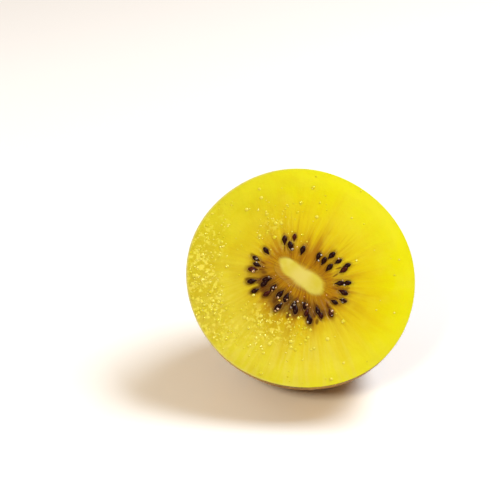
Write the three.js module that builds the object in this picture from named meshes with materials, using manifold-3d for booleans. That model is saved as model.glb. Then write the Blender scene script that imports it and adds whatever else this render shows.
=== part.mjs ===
// Half of a golden kiwi fruit, cut across its waist with one straight stroke of a knife.
// It lies on its skin with the cut face turned up and forward, on the small flat spot that its weight
// has pressed. Millimetres, +Z up, the viewer in front on the -Y side. The origin is the flat spot's middle.
// Three bodies: the thin skin with the dried flower scar at its far end, the gold flesh with its ring of
// seeds grown into the cut face, and the pale core that runs down the middle of the flesh.
import * as THREE from "three";
import { mergeVertices } from "three/addons/utils/BufferGeometryUtils.js";
import Module from "manifold-3d";

// Size of the half fruit
const WIDE_RADIUS = 27.5; // half of the cut's longer diameter
const NARROW_RADIUS = 26.3; // half of its shorter diameter
const HALF_LENGTH = 36; // from the cut to the far end, along the fruit's axis
const BLUNTNESS = 2.15; // 2 is an ellipsoid, and more fills the shoulders
const LOBES = [
  { waves: 3, share: 0.004, start: 0.6 },
  { waves: 5, share: 0.003, start: 2.1 },
]; // how far the waist is from a true oval

// How it lies
const FACE_RISE = THREE.MathUtils.degToRad(40); // the cut face's outward direction above the horizon
const WIDE_AXIS_TURN = THREE.MathUtils.degToRad(-29); // the longer diameter falls to the right
const SINK = 1.2; // how deep the flat spot is pressed in
const SINK_EASE = 0.25; // the flat spot's edge is eased over twice this depth

// Skin
const SKIN = 0.6;
const FIT_GAP = 0.3; // clearance between two bodies that touch
const SCAR_RADIUS = 3.1; // crest of the dried collar that the flower left
const SCAR_HEIGHT = 0.9;
const SCAR_WIDTH = 0.9;
const SCAR_POINTS = 8;
const DIMPLE_DEPTH = 1; // hollow around the scar
const DIMPLE_RADIUS = 8;

// Core
const CORE_LONG = 6.5; // half-lengths of its blunt oval on the cut
const CORE_SHORT = 2.7;
const CORE_BLUNTNESS = 0.8; // 1 is a true oval, and less is squarer
const CORE_DEPTH = 27;
const CORE_RISE = 0.2; // how far it stands above the flesh beside it
const CORE_TAPER = 0.25; // its width at the bottom, as a share

// Cut face
const CARPELS = 36; // seed chambers round the core, equally wide
const EVENING = 0.1; // how far an oval's own turn runs ahead of its length
const CROWN = 0.35; // how far the face swells towards the middle
const GROOVE = 0.32; // depth of a chamber between two ribs
const GROOVE_START = 0.03; // chambers run between these shares of the way from core to rim
const GROOVE_END = 0.55;
const RIM_DROP = 0.25; // the soft flesh draws back a little beside the skin

// Seeds
const SEED_LENGTH = 2.3;
const SEED_WIDTH = 1.2;
const SEED_THICKNESS = 1.1;
const SEED_SIDES = 7;
const INNER_ROW = 0.16; // shares of the way from core to rim
const OUTER_ROW = 0.26;
const ROW_SPREAD = 0.05; // how far a seed lies off its row
const TURN_SPREAD = 0.4; // how far it lies off its chamber's middle, as a share of the chamber
const BARE_CARPELS = [3, 9, 10, 15, 16, 18, 21, 25, 33]; // chambers where the cut missed every seed
const DOUBLE_CARPELS = [2, 6, 7, 20, 22, 23, 24, 27, 30, 32]; // chambers where it bared two
const SEED_DRAW = 219758; // start of the random draws

// Fineness
const SKIN_SEGMENTS = 64;
const FLESH_SEGMENTS = 4 * CARPELS;
const CORE_SEGMENTS = 48;
const QUARTER = Math.PI / 2;
const FULL = 2 * Math.PI;

// Directions in the fruit's own frame: x right and y up along the cut face, z out of it.
const DOWN = new THREE.Vector3(0, -Math.cos(FACE_RISE), -Math.sin(FACE_RISE));

const wasm = await Module();
wasm.setup();

// Random numbers from 0 to 1, each worked out from the one before and so the same on every run.
function draws(start) {
  let state = start;
  return () => {
    state = (state * 16807) % 2147483647;
    return state / 2147483647;
  };
}

// A value that rises smoothly from 0 at the first edge to 1 at the second.
const ramp = (value, from, to) => THREE.MathUtils.smoothstep(value, from, to);

// A point of an oval round the axis. Turn 0 is on the fruit's wide axis.
function oval(long, short, turn, bluntness = 1) {
  const swell = (value) => Math.sign(value) * Math.abs(value) ** bluntness;
  const place = new THREE.Vector2(long * swell(Math.cos(turn)), short * swell(Math.sin(turn)));
  return place.rotateAround(new THREE.Vector2(), WIDE_AXIS_TURN);
}

// The turn at which an even walk round the ring of chambers has come this far.
function evenTurn(way) {
  let turn = way;
  for (let i = 0; i < 8; i++) turn = way + EVENING * Math.sin(2 * turn);
  return turn;
}

const wayAt = (turn) => turn - EVENING * Math.sin(2 * turn);

// A point of the waist, this far inside the skin's outer face.
function waist(turn, inset) {
  const lobed = LOBES.reduce((sum, l) => sum + l.share * Math.cos(l.waves * turn + l.start), 1);
  return oval((WIDE_RADIUS - inset) * lobed, (NARROW_RADIUS - inset) * lobed, turn);
}

// A point of the fruit's rounded side. Dip runs from 0 at the cut to a quarter turn at the far end.
function side(turn, dip, inset) {
  const across = Math.cos(dip) ** BLUNTNESS;
  const along = Math.sin(dip) ** BLUNTNESS;
  const rim = waist(turn, inset);
  const ratio = (HALF_LENGTH - inset) / rim.length();
  const reach = (across + along / ratio ** BLUNTNESS) ** (-1 / BLUNTNESS);
  rim.multiplyScalar(reach * Math.cos(dip));
  return new THREE.Vector3(rim.x, rim.y, -reach * Math.sin(dip) * waist(turn, inset).length());
}

// The point of the plain side that hangs lowest as the fruit lies.
function lowestPoint() {
  const steps = 180;
  let lowest = side(0, 0, 0);
  for (let i = 0; i < steps; i++)
    for (let j = 0; j < steps; j++) {
      const point = side((i / steps) * FULL, (j / steps) * QUARTER, 0);
      if (point.dot(DOWN) > lowest.dot(DOWN)) lowest = point;
    }
  return lowest;
}

const LOWEST = lowestPoint();
const FLOOR = LOWEST.dot(DOWN) - SINK;

// Presses a point up to the floor where it would hang below it, with an eased edge.
function pressed(point, inset) {
  const over = point.dot(DOWN) - (FLOOR - inset);
  if (over <= -SINK_EASE) return point;
  const kept = over >= SINK_EASE ? 0 : -((SINK_EASE - over) ** 2) / (4 * SINK_EASE);
  return point.addScaledVector(DOWN, kept - over);
}

// The rounded side, this far inside the skin's outer face: dimpled at the far end, flat where it rests.
function shell(turn, dip, inset) {
  const point = side(turn, dip, inset);
  point.z += DIMPLE_DEPTH * Math.exp(-((Math.hypot(point.x, point.y) / DIMPLE_RADIUS) ** 2));
  return pressed(point, inset);
}

// The skin's outer face, with the ragged dried collar standing in the dimple.
function outside(turn, dip) {
  const point = shell(turn, dip, 0);
  const crest = SCAR_RADIUS * (1 + 0.06 * Math.cos(SCAR_POINTS * turn));
  const tips = 1 + 0.25 * Math.cos(SCAR_POINTS * turn + 0.8);
  const offCrest = (Math.hypot(point.x, point.y) - crest) / SCAR_WIDTH;
  point.z -= SCAR_HEIGHT * tips * Math.exp(-(offCrest ** 2));
  return point;
}

const ring = (segments, at) => Array.from({ length: segments }, (_, j) => at((j / segments) * FULL));

// A closed body from rings of points that run from one end point to the other.
function skinned(start, rings, end) {
  const segments = rings[0].length;
  const points = [start, ...rings.flat(), end];
  const faces = [];
  for (let j = 0; j < segments; j++) {
    const next = (j + 1) % segments;
    faces.push(0, 1 + j, 1 + next);
    for (let i = 0; i + 1 < rings.length; i++) {
      const near = 1 + i * segments;
      const far = near + segments;
      faces.push(near + j, far + j, far + next, near + j, far + next, near + next);
    }
    const last = 1 + (rings.length - 1) * segments;
    faces.push(last + next, last + j, points.length - 1);
  }
  return new THREE.BufferGeometry().setFromPoints(points).setIndex(faces);
}

// The skin: a thin cup that is open at the cut.
function skinShape() {
  const rimToEnd = [0, 6, 12, 19, 26, 33, 40, 47, 54, 61, 67, 72, 76, 79.5, 82, 83.6, 85, 86.5, 88.4];
  const lining = [84, 76, 67, 57, 47, 37, 27, 17, 8, 0];
  const dips = (degrees) => degrees.map(THREE.MathUtils.degToRad);
  return skinned(
    shell(0, QUARTER, SKIN),
    [
      ...dips(lining).map((dip) => ring(SKIN_SEGMENTS, (turn) => shell(turn, dip, SKIN))),
      ...dips(rimToEnd).map((dip) => ring(SKIN_SEGMENTS, (turn) => outside(turn, dip))),
    ],
    outside(0, QUARTER),
  );
}

// A point of the cut face. Share runs from 0 at the core to 1 at the skin.
function facePoint(turn, share) {
  const inner = oval(CORE_LONG + FIT_GAP, CORE_SHORT + FIT_GAP, turn, CORE_BLUNTNESS);
  const place = inner.lerp(waist(turn, SKIN + FIT_GAP), share);
  return new THREE.Vector3(place.x, place.y, faceHeight(turn, share));
}

// The face's height over the knife's plane: a slight swell, with a groove for each seed chamber.
function faceHeight(turn, share) {
  const swell = CROWN * (1 - share ** 2);
  const chambers = ramp(share, GROOVE_START, 3 * GROOVE_START) * (1 - ramp(share, INNER_ROW, GROOVE_END));
  const groove = GROOVE * chambers * (0.5 + 0.5 * Math.cos(CARPELS * wayAt(turn)));
  const edge = RIM_DROP * ramp(share, 0.94, 1);
  return swell - groove - edge;
}

// A point of the core's side wall, widened by the gap where the flesh lines it.
function coreWall(turn, depth, gap) {
  const width = THREE.MathUtils.lerp(1, CORE_TAPER, (depth / CORE_DEPTH) ** 2);
  const place = oval(CORE_LONG * width + gap, CORE_SHORT * width + gap, turn, CORE_BLUNTNESS);
  return new THREE.Vector3(place.x, place.y, -depth);
}

// The flesh, from the bottom of the core's socket, over the cut face and round to the far end.
function fleshShape() {
  const socket = [CORE_DEPTH + FIT_GAP, 0.75 * CORE_DEPTH, 0.45 * CORE_DEPTH, 0.18 * CORE_DEPTH];
  const shares = [0, 0.035, 0.09, 0.16, 0.23, 0.31, 0.4, 0.52, 0.66, 0.82, 0.94, 1];
  const dips = [7, 20, 34, 48, 62, 77].map(THREE.MathUtils.degToRad);
  const inset = SKIN + FIT_GAP;
  const evenRing = (at) => ring(FLESH_SEGMENTS, (way) => at(evenTurn(way)));
  return skinned(
    new THREE.Vector3(0, 0, -CORE_DEPTH - FIT_GAP),
    [
      ...socket.map((depth) => evenRing((turn) => coreWall(turn, depth, FIT_GAP))),
      ...shares.map((share) => evenRing((turn) => facePoint(turn, share))),
      ...dips.map((dip) => evenRing((turn) => shell(turn, dip, inset))),
    ],
    shell(0, QUARTER, inset),
  );
}

// The core: a slightly domed oval top on a long tapering body.
function coreShape() {
  const top = CROWN + CORE_RISE;
  const crown = (share) => (turn) => {
    const place = oval(CORE_LONG * share, CORE_SHORT * share, turn, CORE_BLUNTNESS);
    return new THREE.Vector3(place.x, place.y, top - CORE_RISE * share ** 4);
  };
  const depths = [0.18, 0.45, 0.75, 1].map((share) => share * CORE_DEPTH);
  return skinned(
    new THREE.Vector3(0, 0, top),
    [
      ...[0.45, 0.75, 0.92, 1].map((share) => ring(CORE_SEGMENTS, crown(share))),
      ...depths.map((depth) => ring(CORE_SEGMENTS, (turn) => coreWall(turn, depth, 0))),
    ],
    new THREE.Vector3(0, 0, -CORE_DEPTH),
  );
}

// A seed lying flat with its blunt end towards +X.
function seedShape() {
  const profile = [
    [0, -0.5],
    [0.17, -0.38],
    [0.38, -0.12],
    [0.5, 0.16],
    [0.36, 0.4],
    [0, 0.5],
  ].map(([radius, along]) => new THREE.Vector2(radius, along));
  return new THREE.LatheGeometry(profile, SEED_SIDES)
    .rotateZ(-QUARTER)
    .scale(SEED_LENGTH, SEED_WIDTH, SEED_THICKNESS);
}

// Where the seeds lie: in each chamber one of either row, both, or none.
function seedPlaces() {
  const draw = draws(SEED_DRAW);
  const places = [];
  for (let k = 0; k < CARPELS; k++) {
    const rows = draw() < 0.5 ? [INNER_ROW, OUTER_ROW] : [OUTER_ROW, INNER_ROW];
    const count = DOUBLE_CARPELS.includes(k) ? 2 : 1;
    for (const row of rows.slice(0, BARE_CARPELS.includes(k) ? 0 : count)) {
      const turn = evenTurn(((k + TURN_SPREAD * (2 * draw() - 1)) / CARPELS) * FULL);
      const share = row + ROW_SPREAD * (2 * draw() - 1);
      const size = 0.85 + 0.3 * draw();
      const lean = 0.5 * (draw() - 0.5);
      places.push({ turn, share, size, lean });
    }
  }
  return places;
}

// A geometry as a closed solid with its shared vertices merged.
function solid(geometry) {
  const bare = geometry.clone();
  bare.deleteAttribute("normal");
  bare.deleteAttribute("uv");
  const merged = mergeVertices(bare, 1e-4);
  return new wasm.Manifold(
    new wasm.Mesh({
      numProp: 3,
      vertProperties: merged.attributes.position.array,
      triVerts: new Uint32Array(merged.index.array),
    }),
  );
}

function geometryOf(body) {
  const mesh = body.getMesh();
  return new THREE.BufferGeometry()
    .setAttribute("position", new THREE.BufferAttribute(new Float32Array(mesh.vertProperties), 3))
    .setIndex(new THREE.BufferAttribute(new Uint32Array(mesh.triVerts), 1));
}

// The seed's shape moved to its place, pointing along its chamber and half sunk in the flesh.
function placedSeed({ turn, share, size, lean }) {
  const here = facePoint(turn, share);
  const outward = facePoint(turn, share + 0.1).sub(here);
  const heading = Math.atan2(outward.y, outward.x) + lean;
  return seedShape()
    .scale(size, size, size)
    .rotateZ(heading)
    .translate(here.x, here.y, here.z);
}

// The flesh with every seed grown into it.
function seededFlesh() {
  const withSeed = (body, place) => body.add(solid(placedSeed(place)));
  return geometryOf(seedPlaces().reduce(withSeed, solid(fleshShape())));
}

function piece(name, geometry, colour, roughness) {
  const shaded = geometry.index ? geometry.toNonIndexed() : geometry;
  shaded.computeVertexNormals();
  const material = new THREE.MeshStandardMaterial({ color: colour, roughness, metalness: 0 });
  const mesh = new THREE.Mesh(shaded, material);
  mesh.name = name;
  return mesh;
}

const kiwi = new THREE.Group();
kiwi.add(
  piece("skin", skinShape(), 0xa8772e, 0.8),
  piece("flesh", seededFlesh(), 0xe6cb22, 0.35),
  piece("core", coreShape(), 0xe9dc7e, 0.5),
);
// Turned so that the cut face looks up and forward, and set down with the flat spot's middle at the origin.
kiwi.rotation.x = QUARTER - FACE_RISE;
kiwi.position.copy(LOWEST.clone().addScaledVector(DOWN, -SINK).applyEuler(kiwi.rotation).negate());

export default kiwi;
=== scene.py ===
# The looks of a golden kiwi fruit half that lies on its skin, with the cut face turned up and forward.
# Shapes are worked out in millimetres in the fruit's own frame, by the formulas of the solids, and set
# down in metres in the shared frame. In the fruit's own frame x runs right and y up along the cut face,
# and z runs out of it.
import math
import bpy
import numpy as np
from mathutils import Euler, Matrix, Vector, noise


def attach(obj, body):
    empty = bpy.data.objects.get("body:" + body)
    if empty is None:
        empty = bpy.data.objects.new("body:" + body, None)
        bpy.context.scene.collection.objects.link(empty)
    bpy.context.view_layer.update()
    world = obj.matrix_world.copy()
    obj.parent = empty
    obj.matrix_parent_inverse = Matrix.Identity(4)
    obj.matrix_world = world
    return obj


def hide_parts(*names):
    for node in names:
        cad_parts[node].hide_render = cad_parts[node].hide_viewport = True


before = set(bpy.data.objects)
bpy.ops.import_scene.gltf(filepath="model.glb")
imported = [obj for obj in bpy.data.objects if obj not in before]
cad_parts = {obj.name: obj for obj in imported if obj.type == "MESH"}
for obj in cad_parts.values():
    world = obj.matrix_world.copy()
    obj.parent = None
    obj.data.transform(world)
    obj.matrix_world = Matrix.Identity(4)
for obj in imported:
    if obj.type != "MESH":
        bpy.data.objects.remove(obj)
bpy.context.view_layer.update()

MM = 0.001
FULL = 2 * math.pi
QUARTER = math.pi / 2

# Size of the half fruit, in millimetres
WIDE_RADIUS = 27.5  # half of the cut's longer diameter
NARROW_RADIUS = 26.3  # half of its shorter diameter
HALF_LENGTH = 36  # from the cut to the far end, along the fruit's axis
BLUNTNESS = 2.15  # 2 is an ellipsoid, and more fills the shoulders
LOBES = [(3, 0.004, 0.6), (5, 0.003, 2.1)]  # waves, share and start of each way the waist leaves its oval

# How it lies
FACE_RISE = math.radians(40)  # the cut face's outward direction above the horizon
WIDE_AXIS_TURN = math.radians(-29)  # the longer diameter falls to the right
SINK = 1.2  # how deep the flat spot is pressed in
SINK_EASE = 0.25  # the flat spot's edge is eased over twice this depth

# Far end
DIMPLE_DEPTH = 1  # hollow around the scar
DIMPLE_RADIUS = 8
SCAR_RADIUS = 3.1  # crest of the dried collar that the flower left
SCAR_HEIGHT = 0.9
SCAR_WIDTH = 0.9
SCAR_POINTS = 8
DRIED_STYLES = 30

# Core
CORE_LONG = 6.5  # half-lengths of its blunt oval on the cut
CORE_SHORT = 2.7
CORE_BLUNTNESS = 0.8  # 1 is a true oval, and less is squarer
CORE_DEPTH = 27
CORE_RISE = 0.2  # how far its middle stands above its edge
CORE_TAPER = 0.25  # its width at the bottom, as a share
CORE_GAP = 0.3  # the solids' clearance round the core, which the fine core grows to close
CORE_SNUG = 0.02  # how far it reaches into the flesh, so that no gap shows
CORE_COLUMNS = 192

# Cut face
CARPELS = 36  # seed chambers round the core, equally wide
EVENING = 0.1  # how far an oval's own turn runs ahead of its length
EVENING_ROUNDS = 8  # steps in which the turn of an even walk settles
CROWN = 0.35  # how far the face swells towards the middle
GROOVE = 0.32  # depth of a chamber between two ribs
GROOVE_START = 0.03  # chambers run between these shares of the way from core to rim
GROOVE_END = 0.55
GEL_FILL = 0.85  # clear gel evens out this share of a chamber's depth
RIM_DROP = 0.25  # the soft flesh draws back a little beside the skin
RIM_START = 0.86  # the share of the way to the rim where it starts to
SEED_INSET = 0.9  # the inset of the cut's rim by which the solids place their seeds

# Height of the fine relief on the wet cut
RIB_HEIGHT = 0.012
CELL_HEIGHT = 0.015
WAVE_HEIGHT = 0.05
SEED_LIP = 0.05
SEED_TRENCH = 0.12

# Seeds
SEED_LENGTH = 2.3
SEED_WIDTH = 1.2
SEED_THICKNESS = 1.1
INNER_ROW = 0.16  # shares of the way from core to rim
OUTER_ROW = 0.26
ROW_SPREAD = 0.05  # how far a seed lies off its row
TURN_SPREAD = 0.4  # how far it lies off its chamber's middle, as a share of the chamber
BARE_CARPELS = [3, 9, 10, 15, 16, 18, 21, 25, 33]  # chambers where the cut missed every seed
DOUBLE_CARPELS = [2, 6, 7, 20, 22, 23, 24, 27, 30, 32]  # chambers where it bared two
STALK_LENGTH = 1.9  # the brown thread from a seed's tip towards the core
STALK_WIDTH = 0.5
BURIED_SEEDS = 26  # seeds just under the cut that show through it as dark spots
FAR = 9.0  # a distance in seed radii that is nowhere near a seed

# Juice that beads on the cut
DROPS = 400
DROP_SIZE = 1  # the largest bead's width
GEL_TRIES = 3  # beads of clear gel that each seed may carry
GEL_BEAD = 0.75  # their largest width
GEL_HEIGHT = 0.42  # how far above a seed's middle they sit
GEL_WAY = math.radians(48)  # the way that its beads lean, up and to the right
GEL_LEAN = math.radians(30)
GLINT = 0.42  # largest width of the small warm beads between the seeds and the core

# Skin, which is thicker in the solids than the real one
SKIN_AT_CUT = 0.1
SKIN_WITHIN = 0.35
SKIN_DRAWN = 0.45  # how far its edge has drawn back from the knife's plane
SKIN_WAVES = [(0.035, 0.9, 5), (0.08, 4, 6), (0.12, 11, 7)]  # height, width and variant of each relief
SCAR_STAIN = 5  # how far the dark of the dried flower spreads from the axis
RIM_OVERHANG = -0.02  # the flesh's rim, this far inside the skin's outer face, so a little past it
RIND = 0.05  # how much further out than the cut's edge the flesh's side counts, for its darker colour

# Short down on the skin, fibres at its edge, and threads of the dried flower
DOWN_HAIRS = 7000
HAIR_LENGTH = 0.6
HAIR_THICKNESS = 0.05
DOWN_END = 1.52  # the dip past which none grows
RIM_HAIRS = 160
RIM_HAIR_THICKNESS = 0.09
STYLE_THICKNESS = 0.4

# Starts of the random draws
SEED_DRAW = 219758
BURIED_DRAW = 31
TILT_DRAW = 77
GEL_DRAW = 331
JUICE_DRAW = 501
STYLE_DRAW = 613
DOWN_DRAW = 811
FIBRE_DRAW = 907

# Fineness
FACE_COLUMNS = 16 * CARPELS
SKIN_COLUMNS = 320
SEAM_WIDTH = 1e-6  # metres within which two vertices are one


# Formulas of the solids

def draws(start):
    """Random numbers from 0 to 1, each worked out from the one before and so the same on every run."""
    state = start
    while True:
        state = state * 16807 % 2147483647
        yield state / 2147483647


def ramp(value, low, high):
    """Rises smoothly from 0 at the first edge to 1 at the second."""
    t = np.clip((value - low) / (high - low), 0, 1)
    return t * t * (3 - 2 * t)


def hump(value, middle, width):
    """A bell of height 1 round the middle."""
    return np.exp(-(((value - middle) / width) ** 2))


def even_turn(way):
    """The turn at which an even walk round the ring of chambers has come this far."""
    turn = way
    for _ in range(EVENING_ROUNDS):
        turn = way + EVENING * np.sin(2 * turn)
    return turn


def way_at(turn):
    """How far an even walk round the ring of chambers has come at this turn."""
    return turn - EVENING * np.sin(2 * turn)


def oval(long, short, turn, bluntness=1):
    """x and y of a point of an oval round the axis. Turn 0 is on the fruit's wide axis."""
    x = long * np.sign(np.cos(turn)) * np.abs(np.cos(turn)) ** bluntness
    y = short * np.sign(np.sin(turn)) * np.abs(np.sin(turn)) ** bluntness
    c, s = math.cos(WIDE_AXIS_TURN), math.sin(WIDE_AXIS_TURN)
    return np.stack([x * c - y * s, x * s + y * c], axis=-1)


def waist(turn, inset):
    """x and y of the waist, this far inside the skin's outer face."""
    lobed = 1 + sum(share * np.cos(waves * turn + start) for waves, share, start in LOBES)
    return oval((WIDE_RADIUS - inset) * lobed, (NARROW_RADIUS - inset) * lobed, turn)


def side(turn, dip, inset):
    """A point of the rounded side. Dip runs from 0 at the cut to a quarter turn at the far end."""
    rim = waist(turn, inset)
    radius = np.linalg.norm(rim, axis=-1)
    ratio = (HALF_LENGTH - inset) / radius
    reach = (np.cos(dip) ** BLUNTNESS + np.sin(dip) ** BLUNTNESS / ratio**BLUNTNESS) ** (-1 / BLUNTNESS)
    across = rim * (reach * np.cos(dip))[..., None]
    return np.concatenate([across, (-reach * np.sin(dip) * radius)[..., None]], axis=-1)


DOWN = np.array([0, -math.cos(FACE_RISE), -math.sin(FACE_RISE)])


def lowest_point():
    """The point of the plain side that hangs lowest as the fruit lies."""
    steps = np.arange(180) / 180
    turn, dip = np.meshgrid(steps * FULL, steps * QUARTER, indexing="ij")
    points = side(turn, dip, np.zeros_like(dip)).reshape(-1, 3)
    return points[np.argmax(points @ DOWN)]


LOWEST = lowest_point()
FLOOR = LOWEST @ DOWN - SINK
STAND = Euler((QUARTER - FACE_RISE, 0, 0)).to_matrix()
SET_DOWN = -(STAND @ Vector(LOWEST - DOWN * SINK))


def in_frame(points):
    """Points of the fruit's own frame, in millimetres, as points of the shared frame, in metres."""
    return (points @ np.array(STAND).T + np.array(SET_DOWN)) * MM


def pressed(points, inset):
    """Points pressed up to the floor where they would hang below it, with an eased edge."""
    over = points @ DOWN - (FLOOR - inset)
    kept = np.where(over >= SINK_EASE, 0, -((SINK_EASE - over) ** 2) / (4 * SINK_EASE))
    lift = np.where(over <= -SINK_EASE, 0, kept - over)
    return points + lift[..., None] * DOWN


def shell(turn, dip, inset):
    """The rounded side, this far inside the skin's outer face, dimpled at the end and pressed flat below."""
    points = side(turn, dip, inset)
    radius = np.hypot(points[..., 0], points[..., 1])
    points[..., 2] += DIMPLE_DEPTH * hump(radius, 0, DIMPLE_RADIUS)
    return pressed(points, inset)


def scar_relief(points, turn):
    """How high the ragged dried collar stands in the dimple."""
    crest = SCAR_RADIUS * (1 + 0.06 * np.cos(SCAR_POINTS * turn))
    tips = 1 + 0.25 * np.cos(SCAR_POINTS * turn + 0.8)
    radius = np.hypot(points[..., 0], points[..., 1])
    return SCAR_HEIGHT * tips * hump(radius, crest, SCAR_WIDTH)


def face_height(turn, share):
    """The face's height over the knife's plane. Share runs from 0 at the core to 1 at the skin."""
    swell = CROWN * (1 - share**2)
    chambers = ramp(share, GROOVE_START, 3 * GROOVE_START) * (1 - ramp(share, INNER_ROW, GROOVE_END))
    groove = (1 - GEL_FILL) * GROOVE * chambers * (0.5 + 0.5 * np.cos(CARPELS * way_at(turn)))
    return swell - groove - RIM_DROP * ramp(share, RIM_START, 1)


def face_point(turn, share, inset):
    """A point of the cut face, whose rim is this far inside the skin's outer face."""
    inner = oval(CORE_LONG + CORE_GAP, CORE_SHORT + CORE_GAP, turn, CORE_BLUNTNESS)
    place = inner + (waist(turn, inset) - inner) * np.asarray(share)[..., None]
    return np.concatenate([place, np.asarray(face_height(turn, share))[..., None]], axis=-1)


def core_wall(turn, depth, gap):
    """A point of the core's side wall, or with a gap of the flesh that lines it."""
    width = 1 + (CORE_TAPER - 1) * (depth / CORE_DEPTH) ** 2
    place = oval(CORE_LONG * width + gap, CORE_SHORT * width + gap, turn, CORE_BLUNTNESS)
    return np.concatenate([place, -depth[..., None]], axis=-1)


def seed_places():
    """Turn, share, size and lean of every seed: each chamber has one of either row, both, or none."""
    draw = draws(SEED_DRAW)
    places = []
    for k in range(CARPELS):
        rows = [INNER_ROW, OUTER_ROW] if next(draw) < 0.5 else [OUTER_ROW, INNER_ROW]
        count = 2 if k in DOUBLE_CARPELS else 1
        for row in rows[: 0 if k in BARE_CARPELS else count]:
            turn = even_turn((k + TURN_SPREAD * (2 * next(draw) - 1)) / CARPELS * FULL)
            share = row + ROW_SPREAD * (2 * next(draw) - 1)
            size = 0.85 + 0.3 * next(draw)
            lean = 0.5 * (next(draw) - 0.5)
            places.append((turn, share, size, lean))
    return places


def seed_middle(turn, share):
    """Where a seed lies and which way its blunt end points, as the solids have it."""
    here = face_point(np.array(turn), np.array(share), SEED_INSET)
    out = face_point(np.array(turn), np.array(share + 0.1), SEED_INSET) - here
    return here, math.atan2(out[1], out[0])


SEEDS = [(*seed_middle(turn, share), size, lean) for turn, share, size, lean in seed_places()]


def buried_places():
    """Seeds that lie just under the cut, between and beyond the others, half of them on its lower left."""
    draw = draws(BURIED_DRAW)
    places = []
    for k in range(BURIED_SEEDS):
        turn = even_turn(FULL * (next(draw) if k % 2 else 0.58 + 0.3 * next(draw)))
        share = INNER_ROW - ROW_SPREAD + 0.22 * next(draw)
        places.append((*seed_middle(turn, share), 0.6 + 0.4 * next(draw), 0.8 * (next(draw) - 0.5)))
    return places


BURIED = buried_places()


def direction(points):
    """The way from the middle of the cut to each point of it, in degrees from the right."""
    return np.degrees(np.arctan2(points[..., 1], points[..., 0])) % 360


def wetness(angle, reach):
    """How thickly the juice beads at a place of the cut: most at its left edge and under the lower seeds."""
    left = hump(angle, 185, 42) * ramp(reach, 0.6, 0.82)
    below = 0.9 * hump(angle, 242, 34) * hump(reach, 0.52, 0.18)
    above = 0.5 * hump(angle, 116, 24) * hump(reach, 0.52, 0.16)
    ring = 0.8 * hump(angle, 245, 48) * hump(reach, 0.24, 0.07)
    return left + below + above + ring + 0.025


# Mesh helpers

def points_of(piece):
    """The piece's vertices, one row each."""
    count = len(piece.data.vertices)
    flat = np.empty(count * 3)
    piece.data.vertices.foreach_get("co", flat)
    return flat.reshape(-1, 3)


def move_points(piece, points):
    piece.data.vertices.foreach_set("co", np.ascontiguousarray(points, dtype=np.float32).ravel())
    piece.data.update()


def store(piece, name, values):
    """Keeps a number or a vector for each vertex, for the material to read."""
    kind, field = ("FLOAT_VECTOR", "vector") if values.ndim == 2 else ("FLOAT", "value")
    layer = piece.data.attributes.new(name, kind, "POINT")
    layer.data.foreach_set(field, np.ascontiguousarray(values, dtype=np.float32).ravel())


def wrapped_grid(name, columns, rows):
    """A grid that is to be wrapped round the axis, with each vertex's turn and row number."""
    bpy.ops.object.select_all(action="DESELECT")
    bpy.ops.mesh.primitive_grid_add(x_subdivisions=columns, y_subdivisions=rows - 1, size=2)
    piece = bpy.context.object
    piece.name = piece.data.name = name
    flat = points_of(piece)
    turn = (flat[:, 0] + 1) / 2 * FULL
    row = np.rint((flat[:, 1] + 1) / 2 * (rows - 1)).astype(int)
    return piece, turn, row


def close_seams(piece):
    """Merges the grid's two ends and its poles, and turns every face outwards."""
    bpy.ops.object.select_all(action="DESELECT")
    piece.select_set(True)
    bpy.context.view_layer.objects.active = piece
    bpy.ops.object.mode_set(mode="EDIT")
    bpy.ops.mesh.select_all(action="SELECT")
    bpy.ops.mesh.remove_doubles(threshold=SEAM_WIDTH)
    bpy.ops.mesh.normals_make_consistent(inside=False)
    bpy.ops.object.mode_set(mode="OBJECT")
    bpy.ops.object.shade_smooth()


def rough(points, scale, variant):
    """Smooth noise from about -1 to 1 at each point, with features about this many millimetres wide."""
    shift = Vector((variant * 17.3, variant * 5.1, variant * 9.7))
    return np.array([noise.noise(Vector(p) / scale + shift) for p in points])


def scattered(name, template, places):
    """One piece with a copy of the template at each matrix, in the fruit's own millimetres."""
    shape = points_of(template)
    faces = [tuple(face.vertices) for face in template.data.polygons]
    matrices = [np.array(place) for place in places]
    points = np.concatenate([shape @ m[:3, :3].T + m[:3, 3] for m in matrices])
    count = len(shape)
    copies = [tuple(v + i * count for v in face) for i in range(len(matrices)) for face in faces]
    mesh = bpy.data.meshes.new(name)
    mesh.from_pydata(in_frame(points).tolist(), [], copies)
    mesh.polygons.foreach_set("use_smooth", [True] * len(mesh.polygons))
    piece = bpy.data.objects.new(name, mesh)
    bpy.context.scene.collection.objects.link(piece)
    bpy.data.objects.remove(template)
    return piece


def per_copy(piece, copies, values):
    """One value of each copy, repeated for each of its vertices."""
    return np.repeat(np.array(values, dtype=float), len(piece.data.vertices) // copies)


def finish_piece(piece, material, slot, *nodes):
    """Gives the piece its one material and its body, and hides the solids whose place it takes. The slot is
    not used.
    """
    piece.data.materials.clear()
    piece.data.materials.append(material)
    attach(piece, "root")
    if nodes:
        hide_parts(*nodes)


# Flesh

def off_seeds(place, seeds, length=SEED_LENGTH, width=SEED_WIDTH):
    """For each point of the face, how far it is from the nearest of these seeds, in that seed's radii."""
    away = np.full(len(place), FAR)
    for middle, heading, size, lean in seeds:
        turn = heading + lean
        dx = place[:, 0] - middle[0]
        dy = place[:, 1] - middle[1]
        along = (dx * math.cos(turn) + dy * math.sin(turn)) / (length * size / 2)
        across = (dy * math.cos(turn) - dx * math.sin(turn)) / (width * size / 2)
        away = np.minimum(away, np.hypot(along, across))
    return away


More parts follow.
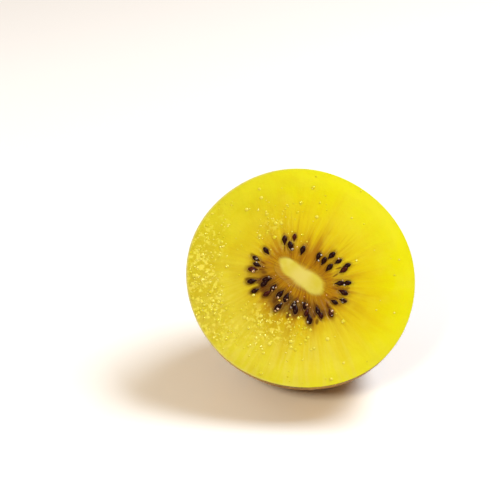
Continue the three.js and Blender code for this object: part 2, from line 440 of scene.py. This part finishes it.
def off_stalks(place):
    """The same for the brown threads that run from the seeds' tips towards the core."""
    stalks = []
    for middle, heading, size, lean in SEEDS:
        outward = np.array([math.cos(heading + lean), math.sin(heading + lean), 0])
        stalks.append((middle - outward * (SEED_LENGTH * size + STALK_LENGTH) / 2, heading, 1, lean))
    return off_seeds(place, stalks, STALK_LENGTH, STALK_WIDTH)


def face_relief(points, turn, share, away):
    """Fine relief of the wet cut: ribs, juice cells, and the lip round every seed."""
    drawn_out = np.stack([10 * np.cos(turn), 10 * np.sin(turn), 1.2 * share], axis=-1)
    ribs = rough(drawn_out, 0.42, 1) * ramp(share, 0.02, 0.12) * (1 - ramp(share, 0.45, 0.8))
    cells = rough(points, 0.75, 2) * (0.35 + 0.65 * ramp(share, 0.2, 0.6))
    broad = rough(points, 5, 3)
    seeds = SEED_LIP * hump(away, 1.5, 0.3) - SEED_TRENCH * hump(away, 1.0, 0.3)
    edge = 1 - ramp(share, 0.95, 1)
    return edge * (RIB_HEIGHT * ribs + CELL_HEIGHT * cells + WAVE_HEIGHT * broad + seeds)


def make_flesh():
    """The flesh as one grid: from the bottom of the core's socket, over the cut and round to the far end."""
    inset = RIM_OVERHANG
    depths = np.array([CORE_DEPTH, 0.7 * CORE_DEPTH, 0.35 * CORE_DEPTH, 0.1 * CORE_DEPTH])
    shares = np.concatenate([
        np.linspace(0, 0.4, 60),
        np.linspace(0.4, 0.94, 54)[1:],
        np.linspace(0.94, 1, 9)[1:],
    ])
    dips = np.radians([0.6, 1.5, 3, 6, 12, 20, 30, 42, 54, 66, 78])
    rows = 1 + len(depths) + len(shares) + len(dips) + 1
    piece, way, row = wrapped_grid("flesh_body", FACE_COLUMNS, rows)
    turn = even_turn(way)
    points = np.zeros((len(row), 3))
    share = np.zeros(len(row))
    away = np.full(len(row), FAR)
    above = np.full(len(row), FAR)
    stalked = np.full(len(row), FAR)

    socket = (row >= 1) & (row <= len(depths))
    face = (row > len(depths)) & (row <= len(depths) + len(shares))
    outer = (row > len(depths) + len(shares)) & (row < rows - 1)
    bottom = row == 0
    top = row == rows - 1
    points[bottom] = [0, 0, -CORE_DEPTH]
    points[socket] = core_wall(turn[socket], depths[row[socket] - 1], 0)
    share[face] = shares[row[face] - 1 - len(depths)]
    points[face] = face_point(turn[face], share[face], inset)
    dip = dips[row[outer] - 1 - len(depths) - len(shares)]
    within = inset + (SKIN_WITHIN - inset) * ramp(dip, 0.01, 0.08)
    points[outer] = shell(turn[outer], dip, within)
    points[top] = shell(np.zeros(1), np.full(1, QUARTER), SKIN_WITHIN)
    share[outer | top] = 1

    away[face] = off_seeds(points[face], SEEDS)
    above[face] = off_seeds(points[face], BURIED)
    stalked[face] = off_stalks(points[face])
    points[face, 2] += face_relief(points[face], turn[face], share[face], away[face])
    rim = waist(turn, inset)
    inner = oval(CORE_LONG + CORE_GAP, CORE_SHORT + CORE_GAP, turn, CORE_BLUNTNESS)
    width = np.linalg.norm(rim - inner, axis=-1)
    reach = np.hypot(points[:, 0], points[:, 1]) / np.linalg.norm(rim, axis=-1)
    move_points(piece, in_frame(points))
    store(piece, "off_core", share * width)
    store(piece, "reach", np.where(outer | top, 1 + RIND, reach))
    store(piece, "spoke", np.stack([np.cos(way), np.sin(way), share], axis=-1))
    store(piece, "off_seed", away)
    store(piece, "off_buried", above)
    store(piece, "off_stalk", stalked)
    store(piece, "wet", np.where(face, wetness(direction(points), reach), 0))
    close_seams(piece)
    return piece


# Core

def make_core():
    """The core as one grid: from the middle of its domed top, over the edge and down to its bottom."""
    shares = np.concatenate([np.linspace(0, 0.9, 16), [0.94, 0.97, 0.99, 1]])
    depths = np.array([0.1, 0.35, 0.7, 1]) * CORE_DEPTH
    rows = len(shares) + len(depths) + 1
    piece, turn, row = wrapped_grid("core_column", CORE_COLUMNS, rows)
    points = np.zeros((len(row), 3))
    crown = row < len(shares)
    wall = (row >= len(shares)) & (row < rows - 1)
    share = np.ones(len(row))
    share[crown] = shares[row[crown]]
    long = (CORE_LONG + CORE_GAP + CORE_SNUG) * share
    short = (CORE_SHORT + CORE_GAP + CORE_SNUG) * share
    points[:, :2] = oval(long, short, turn, CORE_BLUNTNESS)
    rim_height = face_height(turn, np.zeros(len(turn)))
    points[:, 2] = rim_height + CORE_RISE * (1 - share**4)
    depth = depths[row[wall] - len(shares)]
    points[wall] = core_wall(turn[wall], depth, CORE_SNUG)
    points[row == rows - 1] = [0, 0, -CORE_DEPTH]
    points[crown, 2] += WAVE_HEIGHT * rough(points[crown], 1.6, 4) * (1 - share[crown] ** 3)
    radius = np.linalg.norm(oval(CORE_LONG + CORE_GAP, CORE_SHORT + CORE_GAP, turn, CORE_BLUNTNESS), axis=-1)
    move_points(piece, in_frame(points))
    store(piece, "off_core", (share - 1) * radius)
    store(piece, "reach", np.hypot(points[:, 0], points[:, 1]) / WIDE_RADIUS)
    way = way_at(turn)
    store(piece, "spoke", np.stack([np.cos(way), np.sin(way), np.zeros(len(way))], axis=-1))
    for name, value in [("off_seed", FAR), ("off_buried", FAR), ("off_stalk", FAR), ("wet", 0)]:
        store(piece, name, np.full(len(row), value))
    close_seams(piece)
    return piece


# Skin

def make_skin():
    """The skin as one grid: down its inner face at the far end, up to the cut, and back down the outside."""
    lining = np.radians([84, 74, 62, 50, 38, 26, 16, 8, 3, 1])
    outside = np.radians(np.concatenate([
        np.linspace(0, 3, 7),
        np.linspace(3, 78, 101)[1:],
        np.linspace(78, 89.3, 34)[1:],
    ]))
    dips = np.concatenate([[QUARTER], lining, [0], outside, [QUARTER]])
    inside_rows = 2 + len(lining)
    piece, turn, row = wrapped_grid("skin_wall", SKIN_COLUMNS, len(dips))
    dip = dips[row]
    lined = row < inside_rows
    wall = SKIN_AT_CUT + (SKIN_WITHIN - SKIN_AT_CUT) * ramp(dip, 0, 0.15)
    points = shell(turn, dip, np.where(lined, wall, 0))
    grain = sum(height * rough(points, width, variant) for height, width, variant in SKIN_WAVES)
    clear = ramp(-(points @ DOWN) + FLOOR, 0.1, 1.2) * ramp(dip, 0.02, 0.12)
    outward = points / np.linalg.norm(points, axis=-1)[:, None]
    collar = scar_relief(points, turn)
    points = points + np.where(lined, 0, grain * clear)[:, None] * outward
    points[:, 2] -= np.where(lined, 0, collar)
    points[:, 2] -= SKIN_DRAWN * (1 - ramp(dip, 0, 0.06))
    move_points(piece, in_frame(points))
    radius = np.hypot(points[:, 0], points[:, 1])
    store(piece, "scar", np.where(lined | (dip < 1), 0, hump(radius, 0, SCAR_STAIN)))
    store(piece, "off_cut", np.where(lined, 0, dip * WIDE_RADIUS))
    close_seams(piece)
    return piece


# Seeds

def ball(segments, rings):
    """A ball one millimetre across, with its poles on the X axis."""
    bpy.ops.object.select_all(action="DESELECT")
    bpy.ops.mesh.primitive_uv_sphere_add(segments=segments, ring_count=rings, radius=0.5)
    piece = bpy.context.object
    bpy.ops.object.mode_set(mode="EDIT")
    bpy.ops.mesh.select_all(action="SELECT")
    bpy.ops.transform.rotate(value=QUARTER, orient_axis="Y", center_override=(0, 0, 0))
    bpy.ops.object.mode_set(mode="OBJECT")
    return piece


def seed_template():
    """A seed with its blunt end towards +X and a drawn-out tip, pitted all over."""
    piece = ball(20, 18)
    points = points_of(piece)
    taper = 1 - 0.7 * ramp(-points[:, 0], -0.12, 0.5) ** 1.1
    points[:, 1:] *= taper[:, None]
    points *= np.array([SEED_LENGTH, SEED_WIDTH, SEED_THICKNESS])
    pits = rough(points, 0.22, 8)
    move_points(piece, points * (1 + 0.035 * pits)[:, None])
    return piece


def make_seeds():
    draw = draws(TILT_DRAW)
    places = []
    for middle, heading, size, lean in SEEDS:
        sunk = -0.12 + 0.2 * next(draw)
        tip = Euler((0.5 * next(draw) - 0.25, 0.2 * next(draw) - 0.1, heading + lean)).to_matrix().to_4x4()
        place = Matrix.Translation(Vector(middle) - Vector((0, 0, sunk)))
        places.append(place @ tip @ Matrix.Scale(size, 4))
    piece = scattered("seeds", seed_template(), places)
    store(piece, "ripeness", per_copy(piece, len(SEEDS), [next(draw) for _ in SEEDS]))
    return piece


# Juice on the cut

def make_gel():
    """Clear gel on some of the seeds, most of all on the lower ones, and in small beads towards the core."""
    draw = draws(GEL_DRAW)
    places = []
    warmth = []
    for middle, heading, size, lean in SEEDS:
        turned = Matrix.Translation(middle) @ Matrix.Rotation(heading + lean, 4, "Z")
        for _ in range(GEL_TRIES):
            chance, along, across, scale, swing, slope = (next(draw) for _ in range(6))
            if chance > 0.08 + 0.5 * hump(direction(middle), 248, 50):
                continue
            offset = Vector(((along - 0.5) * SEED_LENGTH, (across - 0.5) * SEED_WIDTH, GEL_HEIGHT))
            width = GEL_BEAD * (0.5 + 0.5 * scale)
            way = GEL_WAY + 2 * (swing - 0.5)
            leaning = Matrix.Rotation(GEL_LEAN * (0.4 + 0.9 * slope), 4, (-math.sin(way), math.cos(way), 0))
            cap = Matrix.Diagonal((width, width, 0.45 * width, 1))
            places.append(Matrix.Translation(turned @ (size * offset)) @ leaning @ cap)
            warmth.append(0.6 * (across > 0.7))
        chance, along, across, scale = (next(draw) for _ in range(4))
        if chance < 0.75 * hump(direction(middle), 240, 55):
            inwards = Vector(((-0.6 - 0.6 * along) * SEED_LENGTH, (across - 0.5) * SEED_WIDTH, 0.1))
            width = GLINT * (0.6 + 0.4 * scale)
            bead = Matrix.Diagonal((width, width, 0.7 * width, 1))
            places.append(Matrix.Translation(turned @ (size * inwards)) @ bead)
            warmth.append(1)
    piece = scattered("seed_gel", ball(10, 8), places)
    store(piece, "warmth", per_copy(piece, len(places), warmth))
    return piece


def make_juice():
    """Flat beads of juice, which keep off the seeds."""
    draw = draws(JUICE_DRAW)
    places = []
    warmth = []
    while len(places) < DROPS:
        turn = even_turn(FULL * next(draw))
        share = math.sqrt(0.01 + 0.94 * next(draw))
        chance, size = next(draw), next(draw)
        point = face_point(np.array([turn]), np.array([share]), RIM_OVERHANG)
        reach = np.hypot(*point[0, :2]) / np.linalg.norm(waist(turn, 0))
        away = off_seeds(point, SEEDS)
        among_seeds = hump(reach, 0.22, 0.1)
        if chance > wetness(direction(point[0]), reach) or away[0] < 1.7 - 0.6 * among_seeds:
            continue
        point[0, 2] += face_relief(point, np.array([turn]), np.array([share]), away)[0]
        width = DROP_SIZE * (0.35 + 0.65 * size**3)
        flat = Matrix.Diagonal((width, (0.75 + 0.25 * size) * width, 0.42 * width, 1))
        places.append(Matrix.Translation(point[0]) @ Matrix.Rotation(FULL * chance, 4, "Z") @ flat)
        warmth.append(among_seeds)
    piece = scattered("juice_beads", ball(8, 6), places)
    store(piece, "warmth", per_copy(piece, len(places), warmth))
    return piece


# Down on the skin and the dried flower end

def skin_spot(turn, dip):
    """A point of the skin's outer face, the way straight out, and the area of a unit of turn and dip."""
    step = 0.001
    here = shell(np.array([turn, turn + step, turn]), np.array([dip, dip, dip + step]), 0)
    along = here[1] - here[0]
    ahead = here[2] - here[0]
    out = np.cross(ahead, along)
    return here[0], out / np.linalg.norm(out), np.linalg.norm(np.cross(along, ahead)) / step**2


def hair_at(root, way, length):
    """A matrix that stands the needle on its root, pointing this way, and gives it its length."""
    turn = Vector((0, 0, 1)).rotation_difference(way.normalized()).to_matrix().to_4x4()
    return Matrix.Translation(root) @ turn @ Matrix.Diagonal((1, 1, length, 1))


def needle(thickness):
    """A three-sided needle one millimetre tall."""
    bpy.ops.object.select_all(action="DESELECT")
    bpy.ops.mesh.primitive_cone_add(
        vertices=3, radius1=thickness / 2, radius2=0, depth=1, location=(0, 0, 0.5)
    )
    bpy.ops.object.transform_apply(location=True)
    return bpy.context.object


def make_down():
    """Short down spread evenly over the skin, but none near the floor or at the middle of the far end."""
    draw = draws(DOWN_DRAW)
    most = 1.2 * WIDE_RADIUS * HALF_LENGTH  # more area than a unit of turn and dip covers anywhere
    places = []
    while len(places) < DOWN_HAIRS:
        turn, dip, chance = FULL * next(draw), QUARTER * next(draw), next(draw)
        lean = Vector((next(draw) - 0.5, next(draw) - 0.5, next(draw) - 0.5))
        size = next(draw)
        root, out, area = skin_spot(turn, dip)
        if chance > area / most or FLOOR - root @ DOWN < HAIR_LENGTH or dip > DOWN_END:
            continue
        way = 0.5 * Vector(out) + 0.9 * lean + Vector((0, 0, -0.3))
        places.append(hair_at(root - 0.15 * out, way, HAIR_LENGTH * (0.5 + 0.6 * size)))
    return scattered("skin_down", needle(HAIR_THICKNESS), places)


def make_rim_hairs():
    """Short pale fibres that the knife left standing along the skin's edge."""
    draw = draws(FIBRE_DRAW)
    places = []
    for _ in range(RIM_HAIRS):
        turn = FULL * next(draw)
        root, out, _ = skin_spot(turn, 0.01)
        way = Vector(out) + Vector((next(draw) - 0.5, next(draw) - 0.5, 0.9 * next(draw)))
        length = 0.35 + 0.5 * next(draw)
        places.append(hair_at(root - 0.2 * out - np.array([0, 0, 0.3]), way, length))
    return scattered("rim_fibres", needle(RIM_HAIR_THICKNESS), places)


def make_styles():
    """The dried styles and leaf tips of the flower, dark and brittle, in the dimple at the far end."""
    draw = draws(STYLE_DRAW)
    places = []
    hollow = DIMPLE_DEPTH - HALF_LENGTH
    for k in range(DRIED_STYLES):
        ring = 0.35 + 0.75 * next(draw)
        turn = FULL * (k + next(draw)) / DRIED_STYLES
        radius = SCAR_RADIUS * ring
        root = Vector((radius * math.cos(turn), radius * math.sin(turn), hollow + 0.2))
        bend = 0.3 + 0.9 * next(draw)
        way = Vector((bend * math.cos(turn + 0.6), bend * math.sin(turn + 0.6), -1))
        places.append(hair_at(root, way, 1.3 + 1.2 * next(draw)))
    return scattered("dried_styles", needle(STYLE_THICKNESS), places)


# Shader tools

class Socket:
    """An output of a shader node. Arithmetic on it adds Math nodes."""

    def __init__(self, shader, link):
        self.shader = shader
        self.link = link

    def math(self, operation, *values):
        inputs = dict(enumerate(values))
        return self.shader.node("Math", {"operation": operation}, inputs)

    def __add__(self, other):
        return self.math("ADD", self, other)

    def __sub__(self, other):
        return self.math("SUBTRACT", self, other)

    def __mul__(self, other):
        return self.math("MULTIPLY", self, other)

    def __radd__(self, other):
        return self.math("ADD", other, self)

    def __rsub__(self, other):
        return self.math("SUBTRACT", other, self)

    def __rmul__(self, other):
        return self.math("MULTIPLY", other, self)


class Shader:
    """A new material and the nodes that paint it."""

    def __init__(self, name):
        self.material = bpy.data.materials.new(name)
        self.material.use_nodes = True
        self.tree = self.material.node_tree
        self.tree.nodes.clear()

    def node(self, kind, settings=None, inputs=None, output=0):
        """Adds a node: its settings first, then the values or links of its sockets."""
        made = self.tree.nodes.new("ShaderNode" + kind)
        for key, value in (settings or {}).items():
            setattr(made, key, value)
        for key, value in (inputs or {}).items():
            if isinstance(value, Socket):
                self.tree.links.new(value.link, made.inputs[key])
            else:
                made.inputs[key].default_value = value
        return Socket(self, made.outputs[output])

    def place(self):
        """Where a point is in the shared frame, in metres."""
        return self.node("TexCoord", output="Object")

    def part(self, vector, axis):
        return self.node("SeparateXYZ", inputs={"Vector": vector}, output=axis)

    def number(self, name):
        return self.node("Attribute", {"attribute_name": name}, output="Fac")

    def triple(self, name):
        return self.node("Attribute", {"attribute_name": name}, output="Vector")

    def stretched(self, vector, stretch):
        return self.node("VectorMath", {"operation": "MULTIPLY"}, {0: vector, 1: stretch})

    def noise(self, vector, scale, detail=2):
        return self.node("TexNoise", inputs={"Vector": vector, "Scale": scale, "Detail": detail})

    def cells(self, vector, scale):
        """Distance to the middle of the nearest of many small cells."""
        return self.node("TexVoronoi", inputs={"Vector": vector, "Scale": scale}, output="Distance")

    def rise(self, value, low, high):
        """Goes smoothly from 0 at low to 1 at high."""
        settings = {"interpolation_type": "SMOOTHSTEP"}
        return self.node("MapRange", settings, {"Value": value, "From Min": low, "From Max": high})

    def mix(self, share, one, other):
        settings = {"data_type": "RGBA"}
        return self.node("Mix", settings, {0: share, 6: one, 7: other}, 2)

    def bump(self, height, strength, distance, normal=None):
        inputs = {"Height": height, "Strength": strength, "Distance": distance}
        if normal:
            inputs["Normal"] = normal
        return self.node("Bump", inputs=inputs)

    def surface(self, **inputs):
        """The finish: a name such as base_color stands for the shader's Base Color."""
        named = {key.replace("_", " ").title().replace("Ior", "IOR"): value for key, value in inputs.items()}
        finish = self.node("BsdfPrincipled", inputs=named)
        out = self.tree.nodes.new("ShaderNodeOutputMaterial")
        self.tree.links.new(finish.link, out.inputs["Surface"])
        return self.material


def tint(code):
    """The shader's linear colour for a screen colour written as six hexadecimal digits."""
    parts = [int(code[i : i + 2], 16) / 255 for i in (0, 2, 4)]
    return [c / 12.92 if c <= 0.04045 else ((c + 0.055) / 1.055) ** 2.4 for c in parts] + [1]


# Materials

def flesh_colour(shader):
    """Colour of the cut from core to rim, and the patterns that its relief shares with it."""
    off_core = shader.number("off_core")
    reach = shader.number("reach")
    spoke = shader.triple("spoke")
    away = shader.number("off_seed")
    fringe = shader.noise(shader.stretched(spoke, (7, 7, 0.6)), 2.4, 3)
    streak = shader.noise(shader.stretched(spoke, (9, 9, 1.2)), 2.1)
    petal = shader.noise(shader.stretched(spoke, (3.6, 3.6, 0.5)), 2)
    fine = shader.noise(shader.stretched(spoke, (18, 18, 1.6)), 2.2)
    mottle = shader.noise(shader.place(), 260, 3)
    wander = shader.noise(shader.place(), 90)
    across = shader.part(spoke, "X")
    slant = shader.part(spoke, "Y")
    lower = 1 - shader.rise(slant, -0.9, 0.1)
    left = 1 - shader.rise(shader.part(shader.place(), "X") + 0.02 * (wander - 0.5), -0.022, 0.008)

    # The gold, browner towards the core, and darker on the lower left half, which is painted shade
    # Painted shade: the lower left half of the cut is darker
    shaded_side = 1 - shader.rise(slant, -0.5, 0.9)
    uneven = 0.14 * (streak - 0.5) + 0.45 * (petal - 0.5) + 0.12 * (wander - 0.5)
    level = reach + uneven - 0.1 * shaded_side
    outer = shader.mix(shader.rise(level, 0.52, 0.9), tint("c8b710"), tint("cdcc08"))
    middle = shader.mix(shader.rise(level, 0.34, 0.58), tint("ba9e13"), outer)
    inner = shader.mix(shader.rise(level, 0.22, 0.42), tint("9b6e13"), middle)

    # Streaks that fan out from the core, clouds further out, and a duller tint over the left that is a
    # painted sheen
    fan = shader.rise(off_core, 1.5, 5) * (1 - shader.rise(reach, 0.4, 0.75))
    lined = shader.mix(shader.rise(fine, 0.54, 0.74) * fan * 0.4, inner, tint("c7bc3f"))
    furrowed = shader.mix((1 - shader.rise(fine, 0.3, 0.46)) * fan * 0.35, lined, tint("9f730f"))
    blotch = shader.noise(shader.place(), 60, 3)
    outside = shader.rise(reach, 0.35, 0.6)
    blotched = shader.mix(shader.rise(blotch, 0.42, 0.68) * outside * 0.35, furrowed, tint("d0cb32"))
    # Painted sheen: a duller tint over the left of the cut
    painted_sheen = shader.mix(left * 0.6 * shader.rise(reach, 0.3, 0.6), blotched, tint("b8af2a"))
    pale_streak = lower * shader.rise(reach, 0.42, 0.72) * (0.2 + 0.5 * shader.rise(streak, 0.4, 0.65))
    faded = shader.mix(pale_streak, painted_sheen, tint("ccc44c"))

    # Tiny beads where the cut is wettest, coloured with painted glints on lighter curls and painted shade
    # between them, and a fine mottling all over
    wet = shader.rise(shader.number("wet"), 0.2, 0.9)
    bubble = 1 - shader.rise(shader.cells(shader.place(), 1000), 0.12, 0.5)
    curl = shader.rise(shader.noise(shader.place(), 1000), 0.5, 0.64)
    # Painted shade between the wet cells, then painted glints on their lighter curls
    shaded_gaps = shader.mix((1 - curl) * wet * 0.35, faded, tint("a8920c"))
    glinted = shader.mix(curl * wet * 0.65, shaded_gaps, tint("dcd65a"))
    cloud = (1 - shader.rise(mottle, 0.3, 0.5)) * (0.06 + 0.2 * left)
    dusky = shader.mix(cloud, glinted, tint("b39a0c"))
    spread = shader.mix(shader.rise(mottle, 0.5, 0.7) * 0.2, dusky, tint("cfca30"))

    # Seeds under the cut, the painted shade round those in it and between the lower ones, and their threads
    # and pale lips
    buried = (1 - shader.rise(shader.number("off_buried"), 0.5, 1.3)) * (0.45 + 0.35 * lower)
    spotted = shader.mix(buried, spread, tint("4e220c"))
    # Painted shade round each seed, deeper on the lower side
    shade = (1 - shader.rise(away, 1.0, 2.3)) * (0.32 + 0.45 * lower)
    shaded = shader.mix(shade, spotted, tint("5a3b0a"))
    # Painted shade between the lower seeds
    seeded = shader.rise(reach, 0.15, 0.23) * (1 - shader.rise(reach, 0.33, 0.42))
    shaded_between = shader.mix(lower * seeded * (0.3 + 0.7 * wander), shaded, tint("5a3a10"))
    stalk = (1 - shader.rise(shader.number("off_stalk"), 0.5, 1.2)) * 0.7
    stalked = shader.mix(stalk, shaded_between, tint("55260a"))
    lip = shader.rise(away, 0.95, 1.05) * (1 - shader.rise(away, 1.1, 1.3)) * shader.rise(wander, 0.45, 0.6)
    ringed = shader.mix(lip * 0.25, stalked, tint("bc9c64"))

    # The brown band round the core, and the core's pale middle
    edge = off_core + 1.4 * (fringe - 0.5)
    ruddy = shader.mix(shader.rise(fine, 0.35, 0.65), tint("aa840e"), tint("82500a"))
    browned = shader.mix((1 - shader.rise(edge, 0.6, 3)) * (0.45 + 0.6 * streak), ringed, ruddy)
    seam = off_core + 0.7 * (fringe - 0.5)
    threaded = shader.mix(shader.rise(fine, 0.35, 0.65), tint("aa860f"), tint("8a5e10"))
    golden = shader.mix(1 - shader.rise(seam, -0.6, 0.8), browned, threaded)
    tapered = shader.rise(-0.8 * across - 0.6 * slant, 0.55, 1)
    along = 0.87 * across - 0.48 * slant
    ends = shader.rise(along * along, 0.6, 0.95) * shader.rise(reach, 0.06, 0.15)
    pale = 1 - shader.rise(seam + 1.1 * tapered - 0.8 * ends, -1.7, -0.2)
    cream = shader.mix(shader.rise(mottle, 0.35, 0.7), tint("beb33d"), tint("c6bd5d"))
    milky = shader.mix((1 - shader.rise(reach, 0.02, 0.15)) * 0.7, cream, tint("cbc16c"))
    cored = shader.mix(pale, golden, milky)

    # The rim, with a pale line on the left that is a painted highlight, and the flesh's side under the skin
    # Painted highlight: a pale line along the rim on the left
    rim_lit = shader.mix(shader.rise(reach, 0.98, 0.995) * left * 0.6, cored, tint("c6be79"))
    colour = shader.mix(shader.rise(reach, 1, 1 + RIND / 2), rim_lit, tint("532d0c"))
    return colour, mottle, fine, bubble * wet


def flesh_material(name, roughness):
    shader = Shader(name)
    colour, mottle, fine, beads = flesh_colour(shader)
    juice = shader.cells(shader.place(), 1500)
    grain = shader.bump(mottle + 0.4 * juice, 0.12, 0.0003)
    lined = shader.bump(fine, 0.08, 0.0003, grain)
    normal = shader.bump(beads, 0.15, 0.0003, lined)
    return shader.surface(
        base_color=colour,
        roughness=roughness + 0.12 * (mottle - 0.5) + 0.3 * shader.rise(shader.number("reach"), 0.8, 0.9),
        normal=normal,
        ior=1.36,
        specular_ior_level=0.1,
        subsurface_weight=0.25,
        subsurface_radius=(0.003, 0.002, 0.0006),
        subsurface_scale=1.0,
    )


def skin_material():
    shader = Shader("bronze_skin")
    place = shader.place()
    pores = shader.cells(place, 1700)
    grain = shader.noise(place, 1200, 3)
    patch = shader.noise(place, 110, 4)
    ground = shader.mix(shader.rise(patch, 0.35, 0.68), tint("b8861c"), tint("c99a22"))
    darker = shader.mix((1 - shader.rise(grain, 0.36, 0.5)) * 0.6, ground, tint("8c5c0a"))
    lighter = shader.mix(shader.rise(grain, 0.52, 0.66) * 0.6, darker, tint("e4b83c"))
    pored = shader.mix((1 - shader.rise(pores, 0.1, 0.3)) * 0.4, lighter, tint("6e4010"))
    # Painted shade: the skin is darker towards the floor
    low = 1 - shader.rise(shader.part(place, "Z") + 0.012 * (patch - 0.5), 0.001, 0.018)
    underside_shade = shader.mix(low * 0.6, pored, tint("7c460e"))
    off_cut = shader.number("off_cut")
    # Painted shade: darker still under the cut's edge near the floor
    under_cut = 1 - shader.rise(off_cut + 6 * (patch - 0.5), 1, 9)
    lip_shade = shader.mix(under_cut * low * 0.75, underside_shade, tint("4a220a"))
    # The cut's edge is dried brown all round, and darker near the floor, where it is painted shade
    cut_edge = 1 - shader.rise(off_cut + 2 * (patch - 0.5), 0.2, 2.2)
    dried_edge_and_shade = shader.mix(cut_edge * (0.2 + 0.7 * low), lip_shade, tint("401c06"))
    collar = shader.rise(shader.number("scar") + 0.3 * (grain - 0.5), 0.3, 0.8)
    collared = shader.mix(collar * 0.85, dried_edge_and_shade, tint("3c2410"))
    height = grain + 0.4 * pores + 0.3 * patch
    return shader.surface(
        base_color=collared,
        roughness=0.5 + 0.2 * grain,
        normal=shader.bump(height, 0.6, 0.0004),
        specular_ior_level=0.25,
        sheen_weight=0.06,
        sheen_roughness=0.4,
    )


def seed_material():
    shader = Shader("black_seed")
    ripeness = shader.number("ripeness")
    patch = shader.noise(shader.place(), 900)
    colour = shader.mix(shader.rise(ripeness + 0.4 * (patch - 0.5), 0.55, 1), tint("200605"), tint("42140a"))
    pits = shader.cells(shader.place(), 4200)
    return shader.surface(
        base_color=colour,
        roughness=0.26 + 0.12 * patch,
        normal=shader.bump(pits, 0.3, 0.0001),
        ior=1.4,
        specular_ior_level=0.12,
    )


def juice_material(name, gloss, dark, light):
    shader = Shader(name)
    tinge = shader.noise(shader.place(), 220)
    colour = shader.mix(shader.rise(tinge, 0.35, 0.65), tint(dark), tint(light))
    # Beads marked warm get a warm tint: painted warm glints
    warm_glints = shader.mix(shader.rise(shader.number("warmth"), 0.2, 0.9) * 0.8, colour, tint("c8924e"))
    roughness = 0.03 + 0.06 * tinge
    return shader.surface(base_color=warm_glints, roughness=roughness, ior=1.4, specular_ior_level=gloss)


def hair_material(name, dark, light):
    shader = Shader(name)
    shift = shader.noise(shader.place(), 400)
    colour = shader.mix(shader.rise(shift, 0.35, 0.65), tint(dark), tint(light))
    return shader.surface(base_color=colour, roughness=0.6 + 0.2 * shift)


# Camera, floor and light

VIEW_RISE = math.radians(28)
IMAGE_WIDTH = 500
CUT_MIDDLE_PIXEL = (300.9, 275.5)
FIELD_WIDTH = 119 * MM  # width of the photograph's frame at the cut
LENS = 100  # millimetres
SENSOR = 36
TABLE_WIDTH = 6  # metres


def make_camera():
    """Looks at the cut from the front, with the cut's middle where the photograph has it."""
    middle = Vector(in_frame(np.zeros(3)))
    back = Vector((0, -math.cos(VIEW_RISE), math.sin(VIEW_RISE)))
    up = Vector((0, math.sin(VIEW_RISE), math.cos(VIEW_RISE)))
    step = FIELD_WIDTH / IMAGE_WIDTH
    right_by = (CUT_MIDDLE_PIXEL[0] - IMAGE_WIDTH / 2) * step
    down_by = (CUT_MIDDLE_PIXEL[1] - IMAGE_WIDTH / 2) * step
    aim = middle - Vector((right_by, 0, 0)) + up * down_by
    place = middle + back * FIELD_WIDTH * LENS / SENSOR
    bpy.ops.object.camera_add(location=place)
    camera = bpy.context.object
    camera.rotation_euler = (aim - place).to_track_quat("-Z", "Y").to_euler()
    camera.data.lens = LENS
    camera.data.sensor_width = SENSOR
    bpy.context.scene.camera = camera


def make_table():
    bpy.ops.object.select_all(action="DESELECT")
    bpy.ops.mesh.primitive_plane_add(size=TABLE_WIDTH)
    table = bpy.context.object
    table.name = "table_top"
    shader = Shader("white_table")
    cloud = shader.noise(shader.place(), 3)
    colour = shader.mix(cloud, tint("eeeeec"), tint("f4f4f3"))
    table.data.materials.append(shader.surface(base_color=colour, roughness=0.14 + 0.05 * cloud))


def soft_light(name, place, target, width, height, power, colour):
    """A flat lamp of this size in metres, turned to face its target."""
    bpy.ops.object.light_add(type="AREA", location=place)
    light = bpy.context.object
    light.name = name
    light.data.shape = "RECTANGLE"
    light.data.size = width
    light.data.size_y = height
    light.data.energy = power
    light.data.color = colour
    light.rotation_euler = (Vector(target) - Vector(place)).to_track_quat("-Z", "Y").to_euler()


def make_lights():
    """A cool window behind on the right, a warm panel in front, a little blue on the floor at the left."""
    fruit = (0, 0, 0.025)
    left_floor = (-0.11, -0.02, 0)
    soft_light("window", (0.45, 0.2, 0.72), fruit, 0.6, 0.35, power=10, colour=(0.8, 0.88, 0.97))
    soft_light("left_panel", (-0.34, -0.78, 0.66), fruit, 0.2, 0.2, power=7.6, colour=(1, 0.87, 0.62))
    soft_light("left_sky", (-0.3, 0.05, 0.25), left_floor, 0.25, 0.25, power=0.22, colour=(0.5, 0.75, 1))
    world = bpy.data.worlds.new("warm_room")
    world.use_nodes = True
    glow = world.node_tree.nodes["Background"]
    glow.inputs["Color"].default_value = (1, 0.66, 0.4, 1)
    glow.inputs["Strength"].default_value = 0.35
    bpy.context.scene.world = world
    bpy.context.scene.view_settings.view_transform = "Standard"


# The model

finish_piece(make_flesh(), flesh_material("gold_flesh", 0.24), "flesh", "flesh")
finish_piece(make_core(), flesh_material("pale_core", 0.34), "core", "core")
finish_piece(make_skin(), skin_material(), "skin", "skin")
finish_piece(make_seeds(), seed_material(), "seed")
finish_piece(make_juice(), juice_material("wet_juice", 0.4, "c4bc20", "d4cc50"), "flesh")
finish_piece(make_gel(), juice_material("clear_gel", 1, "4a3c30", "958878"), "flesh")
finish_piece(make_down(), hair_material("golden_down", "bc8c40", "e8c880"), "skin")
finish_piece(make_rim_hairs(), hair_material("pale_fibre", "e0c050", "f4e69a"), "skin")
finish_piece(make_styles(), hair_material("dry_flower", "2a180c", "5a3a1c"), "skin")
make_camera()
make_table()
make_lights()
